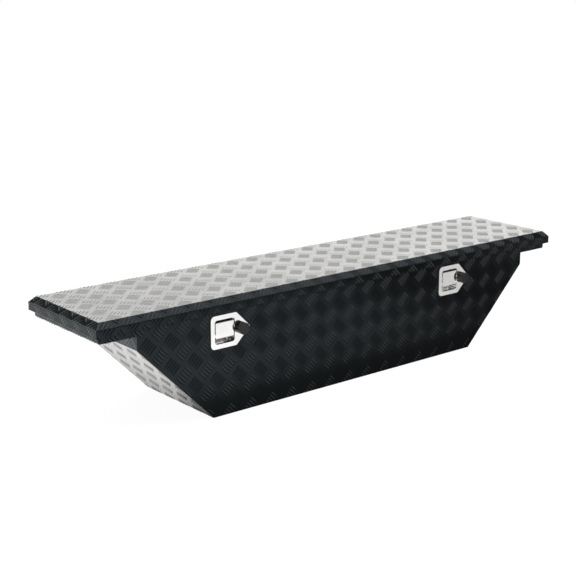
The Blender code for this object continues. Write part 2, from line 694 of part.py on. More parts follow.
def build_hook(x, end):
    """The lever behind the dish whose nose catches the lid, its bracket, pin and spring."""
    axle = pivot("hook_pivot_" + end, (x, HOOK_Y, HOOK_Z))
    near = DISH_BACK + GAP
    bracket = box([x + edge for edge in BRACKET_X], (near, near + SHEET), BRACKET_Z)
    for start in (BRACKET_X[0], BRACKET_X[1] - SHEET):
        join(bracket, box((x + start, x + start + SHEET), (near, CHEEK_BACK), CHEEK_Z))
    cut(bracket, rod("X", (HOOK_Y, HOOK_Z), PIN_HOLE, x - PIN_PAST, x + PIN_PAST))
    part(bracket, "hook_bracket_" + end, "zinc_steel")
    pin = rod("X", (HOOK_Y, HOOK_Z), LATCH_PIN_RADIUS, x + HOOK_PIN_X[0], x + HOOK_PIN_X[1])
    part(pin, "hook_pin_" + end, "zinc_steel")

    front, back = HOOK_Y - HOOK_ARM, HOOK_Y + HOOK_ARM
    catch = front - NOSE_REACH
    nose = [(front, HOOK_Z), (back, HOOK_Z), (back, NOSE_TOP), (front, NOSE_TOP),
            (catch, NOSE_SHOULDER), (catch, NOSE_CATCH), (front, NOSE_CATCH)]
    reach = PADDLE_Y + FINGER_GAP
    finger = [(front, HOOK_Z), (back, HOOK_Z), (back, FINGER_TOP), (reach, FINGER_TOP),
              (reach, FINGER_FOOT), (front, FINGER_FOOT)]
    lever = rod("X", (HOOK_Y, HOOK_Z), HOOK_HUB, x + HOOK_X[0], x + HOOK_X[1])
    join(
        lever,
        prism("X", nose, x - NOSE_HALF, x + NOSE_HALF),
        prism("X", finger, x + TAIL_X[0], x + TAIL_X[1]),
        box([x + edge for edge in STOP_X], [HOOK_Y + edge for edge in STOP_Y],
            (STOP_FOOT, HOOK_Z)),
    )
    cut(lever, rod("X", (HOOK_Y, HOOK_Z), PIN_HOLE, x - PIN_PAST, x + PIN_PAST))
    part(lever, "hook_lever_" + end, "zinc_steel", axle)
    spring = coil(x + SPRING_X[0], x + SPRING_X[1], SPRING_RADIUS, SPRING_WIRE, SPRING_TURNS)
    part(spring, "hook_spring_" + end, "spring_steel")


def coil(start, stop, radius, wire, turns):
    """A close-wound torsion spring about the hook's axis."""
    bm = bmesh.new()
    around, sides = 14, 6
    rings = []
    for k in range(turns * around + 1):
        angle = 2 * math.pi * k / around
        x = start + (stop - start) * k / (turns * around)
        out = Vector((0, math.cos(angle), math.sin(angle)))
        centre = Vector((x, HOOK_Y, HOOK_Z)) + out * radius
        ring = []
        for s in range(sides):
            turn = 2 * math.pi * s / sides
            arm = out * math.cos(turn) + Vector((1, 0, 0)) * math.sin(turn)
            ring.append(bm.verts.new(centre + arm * wire))
        rings.append(ring)
    bm.faces.new(rings[0])
    bm.faces.new(rings[-1])
    for a, b in zip(rings, rings[1:]):
        for i in range(sides):
            j = (i + 1) % sides
            bm.faces.new((a[i], a[j], b[j], b[i]))
    item = solid(bm)
    item.data.shade_smooth()
    return item


def build_striker(x, end, hinge):
    """The lid's catch plate, with a window for the hook's nose."""
    roof = LINER_Z - GAP
    across = (x - STRIKER_HALF, x + STRIKER_HALF)
    strike = box(across, STRIKER_Y, (STRIKER_FOOT, roof))
    join(strike, box(across, (STRIKER_Y[0], STRIKER_FLANGE), (roof - SHEET, roof)))
    cut(strike, box((x - WINDOW_HALF, x + WINDOW_HALF),
                    (STRIKER_Y[0] - PAST, STRIKER_Y[1] + PAST), WINDOW_Z))
    part(strike, "striker_" + end, "zinc_steel", hinge)


def build_lock(x, end):
    """Keyed lock with a weather cap that swings aside towards the plate's point."""
    middle = x + LOCK_DX
    centre = (middle, DISH_Z)
    bore_radius = LOCK_RADIUS + LOCK_CLEAR
    collar_back, collar_front = PLATE_FRONT - GAP, PLATE_FRONT - COLLAR_DEPTH
    collar = turned("Y", centre, [
        (bore_radius, collar_back), (CAP_RADIUS, collar_back),
        (CAP_RADIUS, collar_front + CAP_EASE), (CAP_RADIUS - CAP_EASE, collar_front),
        (bore_radius, collar_front),
    ], 32)
    hinge_x = middle + CAP_HINGE_DX
    hinge_line = (hinge_x, CAP_HINGE_Y)
    arm_y = [CAP_HINGE_Y + edge for edge in CAP_ARM_Y]
    for side in (-1, 1):
        span = sorted((DISH_Z + side * EAR_Z[0], DISH_Z + side * EAR_Z[1]))
        ear = rod("Z", hinge_line, EAR_RADIUS, span[0], span[1], 12)
        join(ear, box((middle + CAP_RECESS[0], hinge_x), arm_y, span))
        join(collar, ear)
    bore = rod("Z", hinge_line, EAR_BORE, DISH_Z - BORE_PAST, DISH_Z + BORE_PAST, 12)
    part(cut(collar, bore), "lock_collar_" + end, "stainless")
    pin = rod("Z", hinge_line, EAR_PIN, DISH_Z - EAR_Z[1], DISH_Z + EAR_Z[1], 10)
    part(pin, "cap_pin_" + end, "zinc_steel")

    swing = pivot("cap_pivot_" + end, (hinge_x, CAP_HINGE_Y, DISH_Z))
    back = collar_front - CAP_GAP
    face = back - CAP_DEPTH
    recess, depth = CAP_RECESS
    rim_in, rim_along = CAP_RIM
    cap = turned("Y", centre, [
        (0, face), (CAP_RADIUS - CAP_EASE, face), (CAP_RADIUS, face + CAP_EASE),
        (CAP_RADIUS, back - rim_along), (CAP_RADIUS - rim_in, back), (recess, back),
        (recess, back - depth), (0, back - depth),
    ], 32)
    tab_z = (DISH_Z - TAB_HALF, DISH_Z + TAB_HALF)
    tab = rod("Z", hinge_line, EAR_RADIUS, tab_z[0], tab_z[1], 12)
    join(tab, box((middle + recess + TAB_INSET, hinge_x), [back - edge for edge in TAB_Y], tab_z))
    join(cap, tab)
    bore = rod("Z", hinge_line, EAR_BORE, DISH_Z - BORE_PAST, DISH_Z + BORE_PAST, 12)
    part(cut(cap, bore), "lock_cap_" + end, "black_plastic", swing)

    key_pivot = pivot("lock_pivot_" + end, (middle, PLATE_FRONT, DISH_Z))
    key_face = collar_front + KEY_SUNK
    half_slot, slot_rise = KEYHOLE
    barrel = turned("Y", centre, [
        (0, key_face), (LOCK_RADIUS, key_face), (LOCK_RADIUS, SPIGOT_SHOULDER),
        (SPIGOT_RADIUS, SPIGOT_SHOULDER), (SPIGOT_RADIUS, SPIGOT_TAIL), (0, SPIGOT_TAIL),
    ], 24)
    cut(barrel, box((middle - half_slot, middle + half_slot), (key_face - PAST, key_face + KEY_DEPTH),
                    (DISH_Z - slot_rise, DISH_Z + slot_rise)))
    part(barrel, "lock_cylinder_" + end, "stainless", key_pivot)

    corners = [(middle - CAM_HALF, DISH_Z - CAM_REACH), (middle + CAM_HALF, DISH_Z - CAM_REACH),
               (middle + CAM_HALF, DISH_Z + CAM_HEAD), (middle - CAM_HALF, DISH_Z + CAM_HEAD)]
    arm = rounded(corners, {i: CAM_HALF - mm for i in range(4)})
    cam_front = SPIGOT_SHOULDER + GAP
    cam = prism("Y", arm, cam_front, cam_front + CAM_SHEET)
    cut(cam, rod("Y", centre, SPIGOT_RADIUS + GAP, cam_front - mm, SPIGOT_TAIL + mm))
    part(cam, "lock_cam_" + end, "zinc_steel", key_pivot)

    turns = [math.pi * k / 3 for k in range(6)]
    hexagon = [(middle + NUT_RADIUS * math.cos(t), DISH_Z + NUT_RADIUS * math.sin(t)) for t in turns]
    nut_front = FRONT + SHEET + GAP
    nut = prism("Y", hexagon, nut_front, nut_front + NUT_DEPTH)
    part(cut(nut, lock_hole(x, LOCK_RADIUS + GAP)), "lock_nut_" + end, "zinc_steel")


# ---------------------------------------------------------------- the whole box


def main():
    clear_scene()
    build_panels()
    build_wrap()
    build_rim()
    build_seal()
    hinge = pivot("lid_pivot", (0, HINGE_Y, HINGE_Z))
    build_lid(hinge)
    build_hinge(hinge)
    for side, end in ((-1, "left"), (1, "right")):
        build_strut(side, end, hinge)
    for x, end in zip(DISH_X, ("left", "right")):
        build_dish(x, end)
        build_paddle(x, end)
        build_hook(x, end)
        build_striker(x, end, hinge)
        build_lock(x, end)


main()
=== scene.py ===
"""Looks for the crossover truck tool box: tread plate, paints, metals, seal, rivets and studio.

Metres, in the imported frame: +X along the length, -Y towards the latches, +Z up.
"""

import math

import bmesh
import bpy
import numpy as np
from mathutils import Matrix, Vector


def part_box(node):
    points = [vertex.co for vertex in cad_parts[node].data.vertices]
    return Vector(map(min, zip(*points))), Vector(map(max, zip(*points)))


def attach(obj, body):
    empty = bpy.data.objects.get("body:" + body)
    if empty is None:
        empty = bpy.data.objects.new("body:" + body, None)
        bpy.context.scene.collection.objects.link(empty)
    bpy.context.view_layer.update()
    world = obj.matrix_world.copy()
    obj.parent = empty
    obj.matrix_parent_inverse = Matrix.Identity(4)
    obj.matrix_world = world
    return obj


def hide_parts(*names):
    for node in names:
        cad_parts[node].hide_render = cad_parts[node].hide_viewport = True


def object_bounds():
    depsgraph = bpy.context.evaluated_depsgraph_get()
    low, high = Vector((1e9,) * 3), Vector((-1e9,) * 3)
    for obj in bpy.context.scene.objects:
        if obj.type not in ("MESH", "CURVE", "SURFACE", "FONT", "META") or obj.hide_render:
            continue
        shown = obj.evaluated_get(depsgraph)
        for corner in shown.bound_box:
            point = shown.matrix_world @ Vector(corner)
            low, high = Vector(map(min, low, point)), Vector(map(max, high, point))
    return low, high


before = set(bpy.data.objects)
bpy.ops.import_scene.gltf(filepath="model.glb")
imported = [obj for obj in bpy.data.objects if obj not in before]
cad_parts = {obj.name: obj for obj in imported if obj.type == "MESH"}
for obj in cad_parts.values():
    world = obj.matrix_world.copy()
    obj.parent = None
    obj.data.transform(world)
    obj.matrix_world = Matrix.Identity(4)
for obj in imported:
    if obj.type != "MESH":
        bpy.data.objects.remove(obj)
CAD_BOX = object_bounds()

mm = 0.001
ENDS = ("left", "right")

# Tread: groups of parallel bars on two interleaved lattices, one at +45 and one at -45 degrees
TREAD_STEP = (73.95 * mm, 68.84 * mm)  # between groups of one slant, along and across
BARS = 5
BAR_PITCH = 9.3 * mm
BAR_LENGTH = 36.5 * mm
BAR_WIDTH = 6.1 * mm
BAR_HEIGHT = 1.15 * mm
BAR_FOOT = 0.15 * mm  # sunk into the sheet
BAR_STATIONS = 11  # cross sections along a bar
BAR_ACROSS = np.array((-1.0, -0.5, 0.0, 0.5, 1.0))  # points of a section, in half widths
BAR_CROWN = np.array((0.0, 0.54, 1.0, 0.54, 0.0))  # their heights, in full heights
BAR_SAMPLES = 49  # places along a bar that are tested against the sheet's edges
SHORTEST_STUB = 6  # samples; what is left of a cut bar is dropped if it is shorter
BAR_SMOOTH = 75  # degrees; sharper edges than this stay sharp
LID_GROUP = (2.75 * mm, -143.5 * mm)  # centre of one group of the falling slant on the lid
LID_TURN = math.radians(0.55)  # the lid's sheet was cut slightly askew to its pattern
FRONT_GROUP = (-346.5 * mm, 245.5 * mm)  # centre of one group of the rising slant on the front
WRAP_GROUP = (-35.0 * mm, 6.0 * mm)  # the same on the folded strip, from the floor's middle

# Where bars stop: distances kept from edges, bends and cut-outs
EDGE_MARGIN = 1.2 * mm  # from a sheet's edge
SLOPE_MARGIN = 1.8 * mm  # from the ends of the front and back, measured level
LEAF_MARGIN = 2.0 * mm  # below the hinge leaf
BEND_MARGIN = 0.4 * mm  # outside the lid's bend
MITRE_MARGIN = 1.6 * mm  # from the mitred corners of the lid's sides
DISH_HALF = 38.5 * mm  # half of the square that each latch's dish needs
LOCK_HOLE = 13.0 * mm  # round each lock's middle

# Bends, beside the CAD nodes that they join
BEND_RADIUS = 2.5 * mm
WING_BEND = 4.0 * mm
LID_BEND = 0.6 * mm  # from the top panel's edge out to the bend
FLOOR_BEND = 0.15 * mm  # from the floor panel's end out to the bend
SLOPE_BEND = 0.1 * mm  # from the slope's upper end to the bend
SADDLE_DROP = 2.3 * mm  # from the strut bracket's foot down to the saddle's outer face

# Rivets along the hinge
LEAF_PLATE = 1.75 * mm  # from the back panel to the leaf's outer face
RIVETS = 15
RIVET_INSET = 30.0 * mm
RIVET_UP = 10.0 * mm
RIVET_RADIUS = 4.2 * mm
RIVET_HEIGHT = 1.9 * mm
RIVET_SINK = 0.1 * mm

# Seal, hem and welds
SEAL_CORNER = 14.0 * mm
SEAL_FOOT = 2.2 * mm  # thickness of the flat foot
SEAL_LEDGE = 0.4 * mm  # the foot stands out at least this far past the bulb
SEAL_ARC = (-62, 304)  # degrees; where the bulb's arc starts, and how far it goes round
HEM_OUT = 1.1 * mm
HEM_RISE = 1.2 * mm
HEM_SINK = 0.4 * mm
HEM_CORNER = 1.6 * mm
BEAD_STEP = 3.4 * mm
BEAD_RADIUS = 2.1 * mm
BEAD_WAIST = 0.82  # radius between two ripples, as a share
WELD_INSET = 0.4 * mm  # of a bead's middle from the panel
WELD_SHORT = 2.0 * mm  # a bead ends this far short of the slope's top, in X and in Z

PADDLE_PAINTED_SHADE = 15.4 * mm  # from the top of the paddle's tail down to where the painted shade starts
# height over which the paddle's painted shade fades in
PAINTED_SHADE_FADE = 0.8 * mm
TOUCH = 0.5 * mm  # points of a mesh this close to a plane count as on it


# ---------------------------------------------------------------- mesh tools


def new_piece(name, verts, faces, finish, body, smooth_angle=40):
    """A named mesh piece with its material, body and slot."""
    mesh = bpy.data.meshes.new(name)
    mesh.from_pydata([tuple(v) for v in verts], [], faces)
    mesh.validate()
    mesh.shade_smooth()
    mesh.set_sharp_from_angle(angle=math.radians(smooth_angle))
    item = bpy.data.objects.new(name, mesh)
    bpy.context.scene.collection.objects.link(item)
    mesh.materials.append(finish)
    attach(item, body)
    return item


def round_path(points, radius, steps=5):
    """A section's points with each inner corner made round."""
    path = [Vector(points[0])]
    for i in range(1, len(points) - 1):
        corner = Vector(points[i])
        before = (Vector(points[i - 1]) - corner).normalized()
        after = (Vector(points[i + 1]) - corner).normalized()
        half = before.angle(after) / 2
        reach = radius / math.tan(half)
        centre = corner + (before + after).normalized() * radius / math.sin(half)
        first, last = corner + before * reach - centre, corner + after * reach - centre
        turn = first.angle(last)
        for k in range(steps + 1):
            share = k / steps
            arm = first * math.sin((1 - share) * turn) + last * math.sin(share * turn)
            path.append(centre + arm / math.sin(turn))
    path.append(Vector(points[-1]))
    return np.array([tuple(p) for p in path])


class Sheet:
    """Takes a flat pattern onto the outer face of a sheet bent along parallel lines.

    One pattern coordinate runs along the bends. The other follows the section, from start at
    the section's first point, growing if way is 1 and falling if it is -1. Side 1 puts the
    outer face on the left of the section's direction. Place turns (along, a, b) into a point.
    """

    def __init__(self, section, start, way, side, place, bends_along=0, radius=BEND_RADIUS):
        self.path = round_path(section, radius) if len(section) > 2 else np.array(section)
        steps = np.linalg.norm(np.diff(self.path, axis=0), axis=1)
        self.length = np.concatenate([[0.0], np.cumsum(steps)])
        ways = np.diff(self.path, axis=0) / steps[:, None]
        normals = np.stack([-ways[:, 1], ways[:, 0]], axis=1) * side
        means = np.vstack([normals[:1], normals[:-1] + normals[1:], normals[-1:]])
        self.normals = means / np.linalg.norm(means, axis=1)[:, None]
        self.start, self.way, self.place, self.bends_along = start, way, place, bends_along

    def reach(self):
        """The section's two ends in the pattern's coordinate."""
        return sorted((self.start, self.start + self.way * self.length[-1]))

    def across(self, points):
        """The coordinate that follows the section."""
        return points[..., 1 - self.bends_along]

    def along(self, points):
        """The coordinate that runs along the bends."""
        return points[..., self.bends_along]

    def lay(self, points, height):
        """Pattern points lifted off the sheet by height, as places in the frame."""
        run = (self.across(points) - self.start) * self.way
        here = [np.interp(run, self.length, self.path[:, k]) for k in (0, 1)]
        out = [np.interp(run, self.length, self.normals[:, k]) for k in (0, 1)]
        scale = np.hypot(out[0], out[1])
        a, b = (here[k] + height * out[k] / scale for k in (0, 1))
        return np.stack(self.place(self.along(points), a, b), axis=-1)


# ---------------------------------------------------------------- tread plate


def bar_section(s):
    """Half width and height of a bar at s, from -1 to 1: even along the middle, round at the ends."""
    width = BAR_WIDTH / 2 * np.clip(1 - np.abs(s) ** 4.0, 0.01, 1) ** 0.6
    height = BAR_HEIGHT * np.clip(1 - np.abs(s) ** 5.0, 0.002, 1) ** 0.55
    return width, height


def group_centres(low, high, origin):
    """Lattice points between two corners."""
    ranges = []
    for k in (0, 1):
        first = math.floor((low[k] - origin[k]) / TREAD_STEP[k]) - 1
        last = math.ceil((high[k] - origin[k]) / TREAD_STEP[k]) + 1
        ranges.append([origin[k] + TREAD_STEP[k] * i for i in range(first, last + 1)])
    return [(x, y) for x in ranges[0] for y in ranges[1]]


def bars_in(low, high, origin, slant, turn):
    """(centre, direction) of every bar of one slant between two corners."""
    c, s = math.cos(turn), math.sin(turn)
    turned = np.array(((c, -s), (s, c)))
    way = np.array((1.0, slant)) / math.sqrt(2)
    aside = np.array((-way[1], way[0]))
    found = []
    for centre in group_centres(low, high, origin):
        for k in range(BARS):
            place = np.array(centre) + aside * BAR_PITCH * (k - (BARS - 1) / 2)
            found.append((turned @ place, turned @ way))
    return found


def kept_stretch(centre, way, inside):
    """The longest stretch of a bar that lies inside the region, as two values of s."""
    s = np.linspace(-1, 1, BAR_SAMPLES)
    points = centre + s[:, None] * way * BAR_LENGTH / 2
    ok = inside(points)
    if ok.all():
        return -1.0, 1.0
    best, first = None, None
    for i, good in enumerate(list(ok) + [False]):
        if good and first is None:
            first = i
        if not good and first is not None:
            if best is None or i - first > best[1] - best[0]:
                best = (first, i)
            first = None
    if best is None or best[1] - best[0] < SHORTEST_STUB:
        return None
    return s[best[0]], s[best[1] - 1]


def bar_faces():
    """Faces of one bar: its crown, its sunk foot and both ends."""
    ring = len(BAR_CROWN)
    faces = []
    for k in range(BAR_STATIONS - 1):
        a, b = k * ring, (k + 1) * ring
        faces += [(a + i, b + i, b + i + 1, a + i + 1) for i in range(ring - 1)]
        faces.append((a + ring - 1, b + ring - 1, b, a))
    last = (BAR_STATIONS - 1) * ring
    faces.append(tuple(range(ring)))
    faces.append(tuple(last + i for i in reversed(range(ring))))
    return faces


def tread(name, sheet, origin, slant, inside, along, finish, body, turn=0.0):
    """The bars on one sheet as one piece.

    Origin is the centre of one group of the given slant, and turn the whole pattern's angle.
    Inside tells which pattern points are on the sheet. Along is its reach along the bends.
    """
    reach = sheet.reach()
    if sheet.bends_along == 0:
        low, high = (along[0], reach[0]), (along[1], reach[1])
    else:
        low, high = (reach[0], along[0]), (reach[1], along[1])
    half_step = (origin[0] + TREAD_STEP[0] / 2, origin[1] + TREAD_STEP[1] / 2)
    bars = bars_in(low, high, origin, slant, turn) + bars_in(low, high, half_step, -slant, turn)
    bar = bar_faces()
    verts, faces = [], []
    for centre, way in bars:
        kept = kept_stretch(centre, way, inside)
        if kept is None:
            continue
        station = np.linspace(-1, 1, BAR_STATIONS)
        s = (kept[0] + kept[1]) / 2 + (kept[1] - kept[0]) / 2 * np.sin(station * math.pi / 2)
        width, height = bar_section(s)
        aside = np.array((-way[1], way[0]))
        points = (centre + s[:, None, None] * way * BAR_LENGTH / 2
                  + (width[:, None] * BAR_ACROSS)[..., None] * aside)
        lift = height[:, None] * BAR_CROWN - BAR_FOOT * (BAR_CROWN == 0)
        laid = sheet.lay(points, lift).reshape(-1, 3)
        first = len(verts) * len(laid)
        verts.append(laid)
        faces += [tuple(first + i for i in face) for face in bar]
    verts = np.concatenate(verts)
    outward(new_piece(name, verts, faces, finish, body, BAR_SMOOTH))


def outward(item):
    """Turns every face outwards."""
    bm = bmesh.new()
    bm.from_mesh(item.data)
    bmesh.ops.recalc_face_normals(bm, faces=bm.faces)
    bm.to_mesh(item.data)
    bm.free()


def within(points, x, y):
    """Which points are inside a rectangle, clear of its edges."""
    return ((points[:, 0] > x[0] + EDGE_MARGIN) & (points[:, 0] < x[1] - EDGE_MARGIN)
            & (points[:, 1] > y[0] + EDGE_MARGIN) & (points[:, 1] < y[1] - EDGE_MARGIN))


def tread_on_panels():
    """Front and back panels, with the pattern's second coordinate upwards from their feet."""
    low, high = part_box("front_panel")
    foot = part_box("floor_panel")
    upright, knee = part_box("slope_right")[1].x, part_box("slope_right")[1].z
    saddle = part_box("strut_bracket_tub_right")[0].z - SADDLE_DROP
    leaf_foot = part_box("hinge_leaf_tub")[0].z

    def on_panel(points):
        x, z = np.abs(points[:, 0]), points[:, 1]
        slope = foot[1].x + (upright - foot[1].x) * np.clip(z / knee, 0, 1)
        edge = np.where(z > saddle, high.x, np.where(z > knee, upright, slope))
        return (z > EDGE_MARGIN) & (z < high.z - EDGE_MARGIN) & (x < edge - SLOPE_MARGIN)

    dishes = []
    for end in ENDS:
        a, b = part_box("latch_paddle_" + end)
        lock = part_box("lock_cylinder_" + end)
        dishes.append(((a.x + b.x) / 2, (lock[0].x + lock[1].x) / 2, (lock[0].z + lock[1].z) / 2))

    def on_front(points):
        ok = on_panel(points)
        for middle, lock, z in dishes:
            off_x, off_z = np.abs(points[:, 0] - middle), np.abs(points[:, 1] - z)
            ok &= (off_x >= DISH_HALF) | (off_z >= DISH_HALF)
            ok &= np.hypot(points[:, 0] - lock, points[:, 1] - z) > LOCK_HOLE
        return ok

    def on_back(points):
        return on_panel(points) & (points[:, 1] < leaf_foot - LEAF_MARGIN)

    black = FINISH["gloss_black"]
    y = low.y
    sheet = Sheet([(0, 0), (0, high.z)], 0, 1, 1, lambda u, a, b: (u, y + a, b))
    tread("front_tread", sheet, FRONT_GROUP, 1, on_front, (low.x, high.x), black, "tub")
    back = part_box("back_panel")[1].y
    sheet = Sheet([(0, 0), (0, high.z)], 0, 1, -1, lambda u, a, b: (u, back + a, b))
    tread("back_tread", sheet, FRONT_GROUP, 1, on_back, (low.x, high.x), black, "tub")


def tread_on_lid():
    """The lid's top, then its four sides, on which the pattern runs on over the bend."""
    top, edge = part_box("lid_top_panel"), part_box("lid_edge_frame")
    bend_x, bend_y, roof = top[1].x + LID_BEND, top[1].y + LID_BEND, top[1].z
    far_x, far_y, foot = edge[1].x, edge[1].y, edge[0].z
    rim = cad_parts["lid_edge_frame"].data.vertices
    skirt_top = max(v.co.z for v in rim if v.co.x > far_x - TOUCH)
    flat = Sheet([(-bend_y, roof), (bend_y, roof)], -bend_y, 1, 1, lambda u, a, b: (u, a, b))

    def on_top(points):
        return within(points, (-bend_x, bend_x), (-bend_y, bend_y))

    tread("lid_top_tread", flat, LID_GROUP, -1, on_top, (-bend_x, bend_x), FINISH["bright_tread"],
          "lid", LID_TURN)

    slant_length = math.hypot(far_y - bend_y, roof - skirt_top)

    def side_sheet(sign, bends_along):
        bend, far = (bend_y, far_y) if bends_along == 0 else (bend_x, far_x)
        section = [(sign * bend, roof), (sign * far, skirt_top), (sign * far, foot)]

        def place(along, a, b):
            return (along, a, b) if bends_along == 0 else (a, along, b)

        return Sheet(section, sign * bend, sign, sign, place, bends_along)

    sides = ((-1, 0, "front"), (1, 0, "back"), (-1, 1, "left"), (1, 1, "right"))
    for sign, bends_along, name in sides:
        sheet = side_sheet(sign, bends_along)
        bend, long_bend, long_far = ((bend_y, bend_x, far_x) if bends_along == 0
                                     else (bend_x, bend_y, far_y))

        def on_side(points, sheet=sheet, bend=bend, long_bend=long_bend, long_far=long_far):
            out = np.abs(sheet.across(points)) - bend
            mitre = long_bend + (long_far - long_bend) * np.clip(out / slant_length, 0, 1)
            low_edge = sheet.length[-1] - EDGE_MARGIN
            same_side = sheet.across(points) * sheet.way > 0
            return (same_side & (out > BEND_MARGIN) & (out < low_edge)
                    & (np.abs(sheet.along(points)) < mitre - MITRE_MARGIN))

        tread("lid_edge_tread_" + name, sheet, LID_GROUP, -1, on_side, (-long_far, long_far),
              FINISH["gloss_black"], "lid", LID_TURN)


def tread_on_wrap():
    """Floor, slopes and wings. The pattern runs on along the folded sheet from the floor's middle."""
    floor, slope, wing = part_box("floor_panel"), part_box("slope_right"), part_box("wing_right")
    floor_half = floor[1].x + FLOOR_BEND
    upright, knee = slope[1].x + SLOPE_BEND, slope[1].z + SLOPE_BEND
    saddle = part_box("strut_bracket_tub_right")[0].z - SADDLE_DROP
    far, rim = wing[1].x, wing[1].z
    depth = (wing[0].y, wing[1].y)
    slope_length = math.hypot(upright - floor_half, knee)

    for name, side in (("left", -1), ("right", 1)):
        def place(along, a, b, side=side):
            return (side * a, along, b)

        # the slope, then the wing, followed outwards from the floor's bend
        sheet = Sheet([(floor_half, 0), (upright, knee)], floor_half, 1, -1, place, 1)

        def on_slope(points):
            return within(points, (floor_half, floor_half + slope_length), depth)

        tread("slope_tread_" + name, sheet, WRAP_GROUP, side, on_slope, depth,
              FINISH["bright_slope"], "tub")

        section = [(upright, knee), (upright, saddle), (far, saddle), (far, rim)]
        start = floor_half + slope_length
        sheet = Sheet(section, start, 1, -1, place, 1, WING_BEND)

        def on_wing(points, sheet=sheet):
            return within(points, sheet.reach(), depth)

        tread("wing_tread_" + name, sheet, WRAP_GROUP, side, on_wing, depth,
              FINISH["gloss_black"], "tub")

    sheet = Sheet([(-floor_half, 0), (floor_half, 0)], -floor_half, 1, -1, lambda u, a, b: (a, u, b), 1)

    def on_floor(points):
        return within(points, (-floor_half, floor_half), depth)

    tread("floor_tread", sheet, WRAP_GROUP, 1, on_floor, depth, FINISH["gloss_black"],
          "tub")


# ---------------------------------------------------------------- small parts


def dome_row(name, centres, out, radius, height, body):
    """Rivet heads: low domes at the given places, standing out along one axis."""
    out = Vector(out)
    first = out.orthogonal().normalized()
    second = out.cross(first)
    verts, faces = [], []
    rings, steps = 4, 14
    for centre in centres:
        base = len(verts)
        for k in range(rings):
            lift = math.radians(90) * k / rings
            for j in range(steps):
                turn = 2 * math.pi * j / steps
                arm = (first * math.cos(turn) + second * math.sin(turn)) * radius * math.cos(lift)
                verts.append(Vector(centre) + arm + out * height * math.sin(lift))
        verts.append(Vector(centre) + out * height)
        top = len(verts) - 1
        for k in range(rings - 1):
            for j in range(steps):
                a, b = base + k * steps + j, base + k * steps + (j + 1) % steps
                faces.append((a, b, b + steps, a + steps))
        last = base + (rings - 1) * steps
        faces += [(last + j, last + (j + 1) % steps, top) for j in range(steps)]
        faces.append(tuple(base + j for j in reversed(range(steps))))
    outward(new_piece(name, verts, faces, FINISH["zinc_steel"], body))


def hinge_rivets():
    """A row of rivets through each leaf of the long hinge."""
    leaf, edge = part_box("hinge_leaf_tub"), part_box("lid_edge_frame")
    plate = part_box("back_panel")[1].y + LEAF_PLATE
    reach = leaf[1].x - RIVET_INSET
    places = np.linspace(-reach, reach, RIVETS)
    dome_row("tub_hinge_rivets", [(x, plate, leaf[0].z + RIVET_UP) for x in places], (0, 1, 0),
             RIVET_RADIUS, RIVET_HEIGHT, "tub")
    half = (places[1] - places[0]) / 2
    skirt = edge[1].y - RIVET_SINK
    dome_row("lid_hinge_rivets", [(x + half, skirt, edge[0].z + RIVET_UP) for x in places[:-1]],
             (0, 1, 0), RIVET_RADIUS, RIVET_HEIGHT, "lid")


def swept_frame(name, section, half_x, half_y, corner, finish, body, steps=8):
    """A section of (out, up) points swept round a level rectangle with round corners."""
    ring = []
    for turn in range(4):
        sx, sy = ((1, 1), (-1, 1), (-1, -1), (1, -1))[turn]
        for k in range(steps + 1):
            angle = math.radians(90) * (turn + k / steps)
            ring.append((sx * (half_x - corner), sy * (half_y - corner),
                         math.cos(angle), math.sin(angle)))
    verts, faces = [], []
    count = len(section)
    for x, y, ax, ay in ring:
        verts += [(x + ax * (corner + out), y + ay * (corner + out), up) for out, up in section]
    for i in range(len(ring)):
        a, b = i * count, (i + 1) % len(ring) * count
        faces += [(a + k, b + k, b + (k + 1) % count, a + (k + 1) % count) for k in range(count)]
    item = new_piece(name, verts, faces, finish, body)
    outward(item)
    return item


def bulb_seal():
    """The lid's seal: a bulb on a flat foot, run round the tub's rim."""
    low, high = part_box("weather_seal")
    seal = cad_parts["weather_seal"].data.vertices
    straight = min(abs(v.co.x) for v in seal) + TOUCH
    inner = min(abs(v.co.y) for v in seal if abs(v.co.x) < straight)
    wide = high.y - inner
    foot = low.z + SEAL_FOOT
    radius = min((high.z - foot) / 2, wide / 2 - SEAL_LEDGE)
    steps = 12
    section = [(0, low.z), (0, foot)]
    for k in range(steps + 1):
        angle = math.radians(SEAL_ARC[0] + SEAL_ARC[1] * k / steps)
        section.append((-wide / 2 + radius * math.cos(angle),
                        high.z - radius + radius * math.sin(angle)))
    section += [(-wide, foot), (-wide, low.z)]
    item = swept_frame("bulb_seal", section, high.x, high.y, SEAL_CORNER, FINISH["seal_rubber"],
                       "tub")
    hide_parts("weather_seal")


def skirt_hem():
    """The lid's skirt ends in a narrow rounded hem."""
    low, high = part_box("lid_edge_frame")
    steps = 8
    section = []
    for k in range(steps + 1):
        angle = math.radians(-90 + 180 * k / steps)
        section.append((HEM_OUT * math.cos(angle), low.z + HEM_RISE + HEM_RISE * math.sin(angle)))
    section += [(-HEM_SINK, low.z + 2 * HEM_RISE), (-HEM_SINK, low.z)]
    swept_frame("skirt_hem", section, high.x, high.y, HEM_CORNER, FINISH["gloss_black"],
                "lid", 4)


